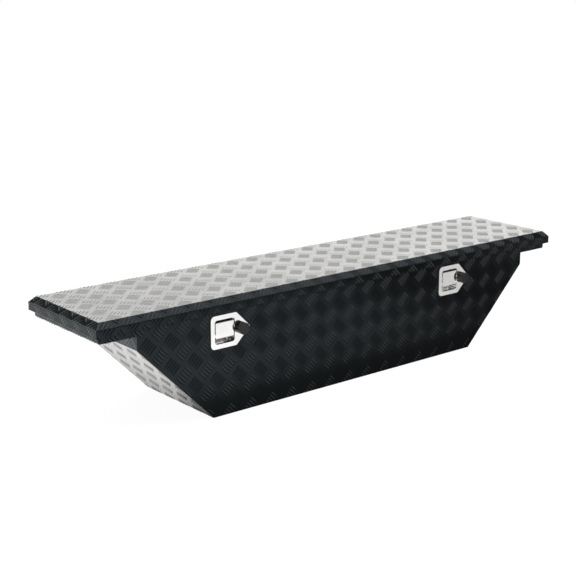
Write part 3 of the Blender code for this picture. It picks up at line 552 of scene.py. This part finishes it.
def weld_bead(name, lines, finish, body):
    """Rippled fillet welds along straight lines."""
    verts, faces = [], []
    sides = 7
    for start, end, up in lines:
        start, end, up = Vector(start), Vector(end), Vector(up).normalized()
        way = end - start
        length = way.length
        way.normalize()
        aside = way.cross(up)
        count = int(length / BEAD_STEP) * 2
        base = len(verts)
        for i in range(count + 1):
            swell = BEAD_RADIUS * (1.0 if i % 2 else BEAD_WAIST)
            here = start + way * length * i / count
            for k in range(sides):
                angle = 2 * math.pi * k / sides
                verts.append(here + (aside * math.cos(angle) + up * math.sin(angle)) * swell)
        for i in range(count):
            a, b = base + i * sides, base + (i + 1) * sides
            faces += [(a + k, a + (k + 1) % sides, b + (k + 1) % sides, b + k) for k in range(sides)]
        faces.append(tuple(base + k for k in reversed(range(sides))))
        faces.append(tuple(base + count * sides + k for k in range(sides)))
    outward(new_piece(name, verts, faces, finish, body))


def inner_welds():
    """Welds inside the tub, where the folded sheet meets the front and back panels."""
    floor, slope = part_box("floor_panel"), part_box("slope_right")
    lines = []
    for y, out in ((floor[0].y, 1), (floor[1].y, -1)):
        y += out * WELD_INSET
        lines.append(((-floor[1].x, y, floor[1].z), (floor[1].x, y, floor[1].z), (0, out, 1)))
        for side in (-1, 1):
            a = (side * floor[1].x, y, floor[1].z)
            b = (side * (slope[1].x - WELD_SHORT), y, slope[1].z - WELD_SHORT)
            lines.append((a, b, (-side, out, 1)))
    weld_bead("inner_welds", lines, FINISH["liner_grey"], "tub")


# ---------------------------------------------------------------- finishes


class Finish:
    """A Principled material built from procedural nodes in the object's own coordinates."""

    def __init__(self, name, metallic=0.0, **constants):
        self.made = bpy.data.materials.new(name)
        self.made.use_nodes = True
        tree = self.made.node_tree
        self.nodes, self.links = tree.nodes, tree.links
        self.shader = self.nodes["Principled BSDF"]
        self.shader.inputs["Metallic"].default_value = metallic
        for key, value in constants.items():
            socket = key.replace("_", " ").title().replace("Ior", "IOR")
            self.shader.inputs[socket].default_value = value
        self.place = self.nodes.new("ShaderNodeTexCoord").outputs["Object"]

    def feed(self, socket, value):
        """Links a socket to another node's output, or sets it to a number or a colour."""
        if isinstance(value, bpy.types.NodeSocket):
            self.links.new(value, socket)
        elif isinstance(value, (int, float)):
            socket.default_value = value
        else:
            socket.default_value = (*value, 1.0) if len(value) == 3 and socket.type == "RGBA" else value

    def stretched(self, stretch):
        """The object's coordinates, scaled along each axis."""
        node = self.nodes.new("ShaderNodeMapping")
        self.feed(node.inputs["Vector"], self.place)
        node.inputs["Scale"].default_value = stretch
        return node.outputs["Vector"]

    def noise(self, scale, stretch=(1, 1, 1), detail=3.0):
        node = self.nodes.new("ShaderNodeTexNoise")
        node.inputs["Scale"].default_value = scale
        node.inputs["Detail"].default_value = detail
        self.feed(node.inputs["Vector"], self.stretched(stretch))
        return node.outputs["Fac"]

    def cells(self, scale, output="Distance"):
        node = self.nodes.new("ShaderNodeTexVoronoi")
        node.inputs["Scale"].default_value = scale
        self.feed(node.inputs["Vector"], self.place)
        return node.outputs[output]

    def span(self, value, source, target):
        """A value taken from one range to another and kept inside it."""
        node = self.nodes.new("ShaderNodeMapRange")
        self.feed(node.inputs["Value"], value)
        for key, number in zip(("From Min", "From Max", "To Min", "To Max"), (*source, *target)):
            node.inputs[key].default_value = number
        return node.outputs["Result"]

    def maths(self, operation, a, b):
        node = self.nodes.new("ShaderNodeMath")
        node.operation = operation
        self.feed(node.inputs[0], a)
        self.feed(node.inputs[1], b)
        return node.outputs["Value"]

    def blend(self, factor, a, b):
        node = self.nodes.new("ShaderNodeMix")
        node.data_type = "RGBA"
        self.feed(node.inputs["Factor"], factor)
        self.feed(node.inputs[6], a)
        self.feed(node.inputs[7], b)
        return node.outputs[2]

    def bump(self, height, strength, distance, onto=None):
        """A bumped normal, on top of another one if given."""
        node = self.nodes.new("ShaderNodeBump")
        node.inputs["Strength"].default_value = strength
        node.inputs["Distance"].default_value = distance
        self.feed(node.inputs["Height"], height)
        if onto is not None:
            self.feed(node.inputs["Normal"], onto)
        return node.outputs["Normal"]

    def blend_value(self, factor, a, b):
        node = self.nodes.new("ShaderNodeMix")
        self.feed(node.inputs["Factor"], factor)
        self.feed(node.inputs[2], a)
        self.feed(node.inputs[3], b)
        return node.outputs[0]

    def done(self, colour, roughness, normal=None):
        """Wires up the shader and gives the finished material."""
        self.feed(self.shader.inputs["Base Color"], colour)
        self.feed(self.shader.inputs["Roughness"], roughness)
        if normal is not None:
            self.feed(self.shader.inputs["Normal"], normal)
        return self.made


def gloss_black():
    """Gloss powder coat: slight orange peel, dust and hairline polishing marks."""
    f = Finish("gloss_black", specular_ior_level=0.5, specular_tint=(0.78, 0.92, 1.0, 1.0))
    haze = f.noise(9.0)
    hairs = f.span(f.noise(60.0, (1, 25, 25), 2), (0.62, 0.72), (0, 1))
    dust = f.span(f.noise(1400.0, detail=1), (0.74, 0.80), (0, 1))
    tone = f.blend(f.span(haze, (0.35, 0.65), (0, 1)), (0.0007, 0.0011, 0.0014),
                   (0.0012, 0.0017, 0.0020))
    colour = f.blend(f.maths("MULTIPLY", dust, 0.3), tone, (0.03, 0.03, 0.029))
    rough = f.maths("ADD", f.span(haze, (0.35, 0.65), (0.08, 0.13)), f.maths("MULTIPLY", hairs, 0.06))
    peel = f.bump(f.noise(330.0, detail=2), 0.05, 0.0003)
    return f.done(colour, f.maths("ADD", rough, f.maths("MULTIPLY", dust, 0.25)), peel)


def bright_tread(name="bright_tread", shade=1.0):
    """Bare bright-rolled aluminium: rolling grain, handling haze and small pits."""
    f = Finish(name, metallic=0.92)

    # shade scales every colour of the plate; below 1 it is painted shade
    def toned(*colour):
        return tuple(shade * c for c in colour)

    grain = f.noise(420.0, (1, 14, 14), 3)
    haze = f.noise(7.0, detail=4)
    pits = f.span(f.noise(900.0, detail=2), (0.64, 0.74), (0, 1))
    tone = f.blend(f.span(grain, (0.3, 0.7), (0, 1)), toned(0.275, 0.273, 0.262),
                   toned(0.325, 0.323, 0.310))
    hazed = f.blend(f.span(haze, (0.45, 0.75), (0, 0.4)), tone, toned(0.26, 0.258, 0.248))
    colour = f.blend(f.maths("MULTIPLY", pits, 0.3), hazed, toned(0.12, 0.12, 0.116))
    rough = f.maths("ADD", f.span(haze, (0.3, 0.7), (0.15, 0.22)), f.span(grain, (0.3, 0.7), (0, 0.05)))
    relief = f.bump(grain, 0.08, 0.0002)
    relief = f.bump(f.noise(160.0, detail=2), 0.06, 0.0004, relief)
    return f.done(colour, rough, relief)


def bright_slope():
    """The same plate on the sloped ends, every colour scaled to 0.62 as painted shade."""
    return bright_tread("bright_slope", 0.62)


def stainless(name="stainless", painted_shade_above=None):
    """Polished stainless steel with fine wipe marks and finger haze, with painted shade, near black and
    dull, above a height if given.
    """
    f = Finish(name, metallic=1.0)
    wipes = f.span(f.noise(300.0, (1, 1, 18), 2), (0.55, 0.72), (0, 1))
    haze = f.noise(45.0, detail=3)
    colour = f.blend(f.span(haze, (0.4, 0.7), (0, 1)), (0.93, 0.92, 0.905), (0.87, 0.86, 0.845))
    rough = f.maths("ADD", f.span(haze, (0.35, 0.7), (0.05, 0.11)), f.maths("MULTIPLY", wipes, 0.07))
    if painted_shade_above is not None:
        split = f.nodes.new("ShaderNodeSeparateXYZ")
        f.feed(split.inputs[0], f.place)
        painted_shade = f.span(split.outputs["Z"], (painted_shade_above, painted_shade_above + PAINTED_SHADE_FADE), (0, 1))
        # painted shade: near black and dull above the given height, standing in for the dark slit above
        # the paddle
        colour = f.blend(painted_shade, colour, (0.02, 0.02, 0.019))
        rough = f.blend_value(painted_shade, rough, 0.5)
    return f.done(colour, rough, f.bump(f.noise(120.0, detail=2), 0.04, 0.0003))


def stainless_paddle():
    """The paddle's steel, with painted shade on its upper edge, inside the dish."""
    return stainless("stainless_paddle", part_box("latch_paddle_left")[1].z - PADDLE_PAINTED_SHADE)


def black_nickel():
    """Dark polished plating with wipe marks, on the lock's collar."""
    f = Finish("black_nickel", metallic=1.0)
    haze = f.noise(60.0, detail=3)
    wipes = f.span(f.noise(260.0, (1, 1, 12), 2), (0.55, 0.72), (0, 1))
    colour = f.blend(f.span(haze, (0.35, 0.65), (0, 1)), (0.060, 0.060, 0.058), (0.095, 0.094, 0.090))
    rough = f.maths("ADD", f.span(haze, (0.35, 0.7), (0.08, 0.14)), f.maths("MULTIPLY", wipes, 0.08))
    return f.done(colour, rough, f.bump(f.noise(150.0, detail=2), 0.04, 0.0002))


def zinc_steel():
    """Bright zinc plating: cloudy spangle with a faint warm and cool cast."""
    f = Finish("zinc_steel", metallic=0.95)
    spangle = f.cells(260.0, "Color")
    cloud = f.noise(40.0, detail=4)
    tone = f.blend(f.span(cloud, (0.35, 0.65), (0, 1)), (0.50, 0.51, 0.52), (0.60, 0.58, 0.52))
    colour = f.blend(0.12, tone, spangle)
    rough = f.span(f.noise(90.0, detail=4), (0.3, 0.7), (0.26, 0.46))
    return f.done(colour, rough, f.bump(f.noise(700.0, detail=2), 0.12, 0.0002))


def spring_steel():
    """Drawn spring wire, streaked along its length."""
    f = Finish("spring_steel", metallic=1.0)
    drawn = f.noise(200.0, (1, 4, 4), 3)
    colour = f.blend(drawn, (0.26, 0.26, 0.27), (0.42, 0.42, 0.43))
    return f.done(colour, f.span(drawn, (0.3, 0.7), (0.22, 0.38)))


def strut_black():
    """Baked enamel on the strut's tube, lightly rubbed."""
    f = Finish("strut_black", specular_ior_level=0.5)
    rub = f.noise(35.0, (1, 6, 1), 4)
    colour = f.blend(f.span(rub, (0.55, 0.75), (0, 1)), (0.014, 0.014, 0.015), (0.035, 0.035, 0.036))
    return f.done(colour, f.span(rub, (0.3, 0.7), (0.20, 0.36)), f.bump(f.noise(500.0), 0.06, 0.0002))


def black_plastic():
    """Moulded plastic with a fine spark-eroded texture."""
    f = Finish("black_plastic", specular_ior_level=0.5)
    grain = f.noise(1500.0, detail=2)
    shade = f.noise(60.0, detail=3)
    colour = f.blend(f.span(shade, (0.35, 0.65), (0, 1)), (0.018, 0.020, 0.021), (0.027, 0.029, 0.030))
    return f.done(colour, f.span(shade, (0.3, 0.7), (0.30, 0.42)), f.bump(grain, 0.18, 0.0001))


def seal_rubber():
    """Sponge rubber with its extruded skin and a little chalk."""
    f = Finish("seal_rubber", specular_ior_level=0.35)
    chalk = f.noise(120.0, detail=5)
    colour = f.blend(f.span(chalk, (0.55, 0.75), (0, 1)), (0.018, 0.018, 0.018), (0.060, 0.060, 0.058))
    return f.done(colour, f.span(chalk, (0.3, 0.7), (0.62, 0.85)), f.bump(f.noise(900.0), 0.3, 0.0002))


def foam_core():
    """Cut rigid foam, with open cells."""
    f = Finish("foam_core", specular_ior_level=0.2)
    cells = f.cells(700.0)
    colour = f.blend(f.span(cells, (0.0, 0.6), (0, 1)), (0.40, 0.34, 0.20), (0.72, 0.65, 0.46))
    return f.done(colour, 0.92, f.bump(cells, 0.6, 0.0006))


def liner_grey():
    """Mill-finish aluminium sheet with rolling streaks."""
    f = Finish("liner_grey", metallic=0.45)
    streak = f.noise(30.0, (1, 30, 30), 4)
    smear = f.noise(8.0, detail=4)
    tone = f.blend(f.span(streak, (0.3, 0.7), (0, 1)), (0.42, 0.43, 0.44), (0.56, 0.57, 0.58))
    colour = f.blend(f.span(smear, (0.5, 0.8), (0, 0.5)), tone, (0.36, 0.37, 0.38))
    return f.done(colour, f.span(streak, (0.3, 0.7), (0.34, 0.50)), f.bump(streak, 0.10, 0.0002))


MAKERS = (gloss_black, bright_tread, bright_slope, stainless, stainless_paddle, black_nickel, zinc_steel,
          spring_steel, strut_black, black_plastic, seal_rubber, foam_core, liner_grey)
FINISH = {maker.__name__: maker() for maker in MAKERS}


# Each CAD node's finish, by the start of its name; the first that fits is taken
NODE_FINISH = (
    ("lid_top_panel", "bright_tread"), ("slope", "bright_slope"),
    ("lid_liner", "liner_grey"), ("lid_core", "foam_core"),
    ("weather_seal", "seal_rubber"), ("latch_gasket", "seal_rubber"),
    ("hinge_pin", "zinc_steel"), ("hinge_leaf", "stainless"),
    ("latch_plate", "stainless"), ("latch_paddle", "stainless_paddle"), ("lock_cylinder", "stainless"),
    ("strut_rod", "stainless"), ("strut_cylinder", "strut_black"),
    ("lock_collar", "black_nickel"), ("lock_cap", "black_plastic"),
    ("hook_spring", "spring_steel"),
    ("front_panel", "gloss_black"), ("back_panel", "gloss_black"), ("floor_panel", "gloss_black"),
    ("wing", "gloss_black"), ("rim", "gloss_black"), ("lid_edge_frame", "gloss_black"),
    ("", "zinc_steel"),
)
# Edge rounding of CAD nodes, by the start of the name, in millimetres
NODE_ROUND = (
    ("lid_edge_frame", 1.4), ("lid_top_panel", 0.25), ("latch_plate", 0.35), ("latch_paddle", 0.3),
    ("lock_ca", 0.3), ("lock_collar", 0.3), ("hinge_leaf", 0.15), ("strut_bracket", 0.3),
    ("striker", 0.3), ("hook_lever", 0.3), ("hook_bracket", 0.3), ("rim", 0.3), ("wing", 0.4), ("", 0.0),
)


# Dissolving the level foot of this ring would close its opening
OPEN_RINGS = ("lid_edge_frame",)


def first_fit(table, name):
    """The value beside the first entry that the name starts with."""
    return next(value for start, value in table if name.startswith(start))


def dress_nodes():
    """Puts finishes and rounded edges on the CAD nodes."""
    for name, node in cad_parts.items():
        finish = FINISH[first_fit(NODE_FINISH, name)]
        if node.data.materials:
            for k in range(len(node.data.materials)):
                node.data.materials[k] = finish
        else:
            node.data.materials.append(finish)
        width = first_fit(NODE_ROUND, name) * mm
        if width:
            weld = node.modifiers.new("weld", "WELD")
            weld.merge_threshold = 0.00001
            if name not in OPEN_RINGS:
                flat = node.modifiers.new("flat", "DECIMATE")
                flat.decimate_type = "DISSOLVE"
                flat.angle_limit = math.radians(0.5)
            bevel = node.modifiers.new("round", "BEVEL")
            bevel.width = width
            bevel.segments = 3
            bevel.limit_method = "ANGLE"
            bevel.angle_limit = math.radians(30)
            bevel.harden_normals = True


# ---------------------------------------------------------------- studio


# The camera solved from the photograph: place in metres, turns in degrees, lens and sensor in mm
CAMERA_PLACE = (-2.368, -2.752, 1.216)
CAMERA_TURNS = (75.23, -0.07, -39.31)
LENS = 76.84
SENSOR = 36.0
SHIFT = (0.0006, -0.0048)

# Grey levels of the room by height, from the horizon, 0, to straight above, 1
ROOM_BEFORE = ((0.0, 0.60), (0.20, 0.60), (0.36, 0.10), (0.60, 0.06), (0.72, 0.44), (0.84, 0.62),
               (0.93, 1.0))
ROOM_BEHIND = ((0.0, 0.85), (0.30, 0.85), (0.39, 0.10), (0.49, 0.10), (0.62, 0.9), (1.0, 0.95))
ROOM_TO_FRONT = ((0.0, 1.0), (0.50, 1.0), (0.88, 0.12))  # share left, by how far the way points at -Y
ROOM_TURN = 0.4  # how far a way points at +Y where the levels behind have wholly taken over
ROOM_STRENGTH = 1.8

# What the box sees of the table: grey levels over a stretch of X or Y, each stretch from 0 to 1
TABLE_ALONG = ((0.05, 0.05), (0.13, 0.66), (0.325, 0.42), (0.525, 0.12), (0.80, 0.30))
TABLE_NEAR = ((0.50, 1.0), (0.80, 0.22))
TABLE_REAR = ((0.28, 0.42), (0.42, 0.95), (0.69, 0.95), (0.75, 0.50))
REAR_STRENGTH = 1.58
TABLE_WHITE = 0.94  # the even level that the camera sees
TABLE_PAPER = 0.10  # the share of light that it scatters, which shows the box's soft shadow
TABLE_HALF = 15.0
TABLE_GAP = 0.15 * mm  # below the bars of the underside


def camera():
    """A camera at the photograph's viewing angle."""
    data = bpy.data.cameras.new("camera")
    data.sensor_width = SENSOR
    data.lens = LENS
    data.shift_x, data.shift_y = SHIFT
    data.clip_start, data.clip_end = 0.05, 60
    item = bpy.data.objects.new("camera", data)
    bpy.context.scene.collection.objects.link(item)
    item.location = CAMERA_PLACE
    item.rotation_euler = [math.radians(a) for a in CAMERA_TURNS]
    bpy.context.scene.camera = item


def area_light(name, place, aim, size, power, reflected=True):
    """A white rectangular lamp at a place, aimed at a point. Reflected says if polished faces show it."""
    data = bpy.data.lights.new(name, "AREA")
    data.shape = "RECTANGLE"
    data.size, data.size_y = size
    data.energy = power
    item = bpy.data.objects.new(name, data)
    bpy.context.scene.collection.objects.link(item)
    item.location = place
    item.rotation_euler = (Vector(aim) - Vector(place)).to_track_quat("-Z", "Y").to_euler()
    item.visible_glossy = reflected
    return item


def ramp(tree, place, stops, interpolation="LINEAR"):
    """Grey levels by the value of a socket."""
    node = tree.nodes.new("ShaderNodeValToRGB")
    elements = node.color_ramp.elements
    elements.remove(elements[1])
    for k, (position, level) in enumerate(stops):
        element = elements[0] if k == 0 else elements.new(position)
        element.position = position
        element.color = (level, level, level, 1)
    node.color_ramp.interpolation = interpolation
    tree.links.new(place, node.inputs["Fac"])
    return node.outputs["Color"]


def coordinates(tree, kind):
    """X, Y and Z of a kind of texture coordinate."""
    place = tree.nodes.new("ShaderNodeTexCoord")
    split = tree.nodes.new("ShaderNodeSeparateXYZ")
    tree.links.new(place.outputs[kind], split.inputs[0])
    return split.outputs


def product(tree, socket, factor):
    """A socket's value times a number or another socket's value."""
    node = tree.nodes.new("ShaderNodeMath")
    node.operation = "MULTIPLY"
    tree.links.new(socket, node.inputs[0])
    if isinstance(factor, float):
        node.inputs[1].default_value = factor
    else:
        tree.links.new(factor, node.inputs[1])
    return node.outputs[0]


def finish_tree(tree, seen, lit, output):
    """The camera sees the first shader, and everything else is lit by the second."""
    path = tree.nodes.new("ShaderNodeLightPath")
    mix = tree.nodes.new("ShaderNodeMixShader")
    tree.links.new(path.outputs["Is Camera Ray"], mix.inputs["Fac"])
    tree.links.new(lit.outputs[0], mix.inputs[1])
    tree.links.new(seen.outputs[0], mix.inputs[2])
    out = tree.nodes.new(output)
    tree.links.new(mix.outputs[0], out.inputs["Surface"])


def room_levels(tree):
    """The room's grey level in each direction."""
    way = coordinates(tree, "Generated")
    side = tree.nodes.new("ShaderNodeMapRange")
    side.interpolation_type = "SMOOTHSTEP"
    side.inputs["From Max"].default_value = ROOM_TURN
    tree.links.new(way["Y"], side.inputs["Value"])
    height, both = tree.nodes.new("ShaderNodeMix"), tree.nodes.new("ShaderNodeMix")
    height.data_type = both.data_type = "RGBA"
    tree.links.new(side.outputs["Result"], height.inputs["Factor"])
    tree.links.new(ramp(tree, way["Z"], ROOM_BEFORE), height.inputs[6])
    tree.links.new(ramp(tree, way["Z"], ROOM_BEHIND), height.inputs[7])
    both.blend_type = "MULTIPLY"
    both.inputs["Factor"].default_value = 1.0
    tree.links.new(height.outputs[2], both.inputs[6])
    tree.links.new(ramp(tree, product(tree, way["Y"], -1.0), ROOM_TO_FRONT), both.inputs[7])
    return both.outputs[2]


def studio_world():
    """A pale room: bright near the horizon, a dark band higher up, bright overhead, dim towards -Y."""
    world = bpy.data.worlds.new("studio")
    world.use_nodes = True
    tree = world.node_tree
    tree.nodes.clear()
    seen, lit = tree.nodes.new("ShaderNodeBackground"), tree.nodes.new("ShaderNodeBackground")
    seen.inputs["Color"].default_value = (1, 1, 1, 1)
    lit.inputs["Strength"].default_value = ROOM_STRENGTH
    tree.links.new(room_levels(tree), lit.inputs["Color"])
    finish_tree(tree, seen, lit, "ShaderNodeOutputWorld")
    bpy.context.scene.world = world


def table_levels(tree):
    """The table's level at each place, as the box sees it: uneven, like the photograph's reflections."""
    place = coordinates(tree, "Object")

    def over(axis, low, high, stops):
        """Grey levels along an axis, between two places on it in metres."""
        span = tree.nodes.new("ShaderNodeMapRange")
        span.inputs["From Min"].default_value = low
        span.inputs["From Max"].default_value = high
        tree.links.new(place[axis], span.inputs["Value"])
        return ramp(tree, span.outputs["Result"], stops, "EASE")

    # In front, the level follows X and dims towards the box. Behind, it follows X alone
    front = product(tree, over("X", -1.0, 3.0, TABLE_ALONG), over("Y", -1.0, 0.0, TABLE_NEAR))
    rear = product(tree, over("X", -2.0, 0.0, TABLE_REAR), REAR_STRENGTH)
    behind = over("Y", -0.15, 0.05, ((0.0, 0.0), (1.0, 1.0)))
    table = tree.nodes.new("ShaderNodeMix")
    tree.links.new(behind, table.inputs["Factor"])
    tree.links.new(front, table.inputs[2])
    tree.links.new(rear, table.inputs[3])
    return table.outputs[0]


def table_finish():
    """White to the camera, with a soft shadow, and uneven to the box."""
    made = bpy.data.materials.new("studio_floor")
    made.use_nodes = True
    tree = made.node_tree
    tree.nodes.clear()
    glow, white = tree.nodes.new("ShaderNodeEmission"), tree.nodes.new("ShaderNodeEmission")
    paper = tree.nodes.new("ShaderNodeBsdfDiffuse")
    tree.links.new(table_levels(tree), glow.inputs["Strength"])
    white.inputs["Strength"].default_value = TABLE_WHITE
    paper.inputs["Color"].default_value = (TABLE_PAPER, TABLE_PAPER, TABLE_PAPER, 1)
    seen = tree.nodes.new("ShaderNodeAddShader")
    tree.links.new(white.outputs[0], seen.inputs[0])
    tree.links.new(paper.outputs[0], seen.inputs[1])
    finish_tree(tree, seen, glow, "ShaderNodeOutputMaterial")
    return made


def studio_floor():
    """A pale table just below the box."""
    z = CAD_BOX[0].z - BAR_HEIGHT - TABLE_GAP
    corners = [(x * TABLE_HALF, y * TABLE_HALF, z) for x, y in ((-1, -1), (1, -1), (1, 1), (-1, 1))]
    mesh = bpy.data.meshes.new("studio_floor")
    mesh.from_pydata(corners, [], [(0, 1, 2, 3)])
    mesh.materials.append(table_finish())
    item = bpy.data.objects.new("studio_floor", mesh)
    bpy.context.scene.collection.objects.link(item)


def only_on(light, names):
    """Keeps a light to the named pieces, as a small reflector close to them would do."""
    group = bpy.data.collections.new(light.name + "_on")
    bpy.context.scene.collection.children.link(group)
    for name in names:
        group.objects.link(bpy.data.objects[name])
    light.light_linking.receiver_collection = group


def latch_card():
    """A pale card on the floor in front, which fills the polished latches."""
    light = area_light("latch_card", place=(0.75, -0.95, 0.004), aim=(0.75, -0.95, 1.0),
                       size=(2.6, 1.1), power=4.7)
    only_on(light, [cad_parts[kind + end].name for end in ENDS for kind in
                    ("latch_plate_", "latch_paddle_", "lock_collar_", "lock_cylinder_")])


INSIDE_PARTS = ("lid_liner", "lid_core", "floor_panel", "back_panel", "front_panel", "rim_", "wing_",
                "slope_", "weather_seal", "strut_", "hook_", "striker", "hinge_", "lock_cam", "lock_nut")


def inside_fill():
    """A wide soft box above and in front that reaches the inside once the lid is open."""
    light = area_light("inside_fill", place=(0, -1.9, 2.5), aim=(0, 0.1, 0.3), size=(3.2, 1.6),
                       power=130)
    pieces = [node.name for name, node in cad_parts.items() if name.startswith(INSIDE_PARTS)]
    only_on(light, pieces + ["bulb_seal", "inner_welds"])


def studio():
    """Room, table, lamps and camera."""
    studio_world()
    studio_floor()
    latch_card()
    inside_fill()
    area_light("front_fill", place=(2.2, -2.6, 2.4), aim=(0, 0, 0.2), size=(1.6, 1.6), power=60,
               reflected=False)
    area_light("left_key", place=(-3.2, -0.8, 0.25), aim=(0, 0, 0.2), size=(1.0, 0.5), power=60,
               reflected=False)
    bpy.context.scene.view_settings.view_transform = "Standard"
    camera()


# ---------------------------------------------------------------- the whole scene


def main():
    """Dresses the CAD nodes, adds the new pieces and sets up the studio."""
    dress_nodes()
    tread_on_panels()
    tread_on_lid()
    tread_on_wrap()
    hinge_rivets()
    bulb_seal()
    skirt_hem()
    inner_welds()
    studio()


main()
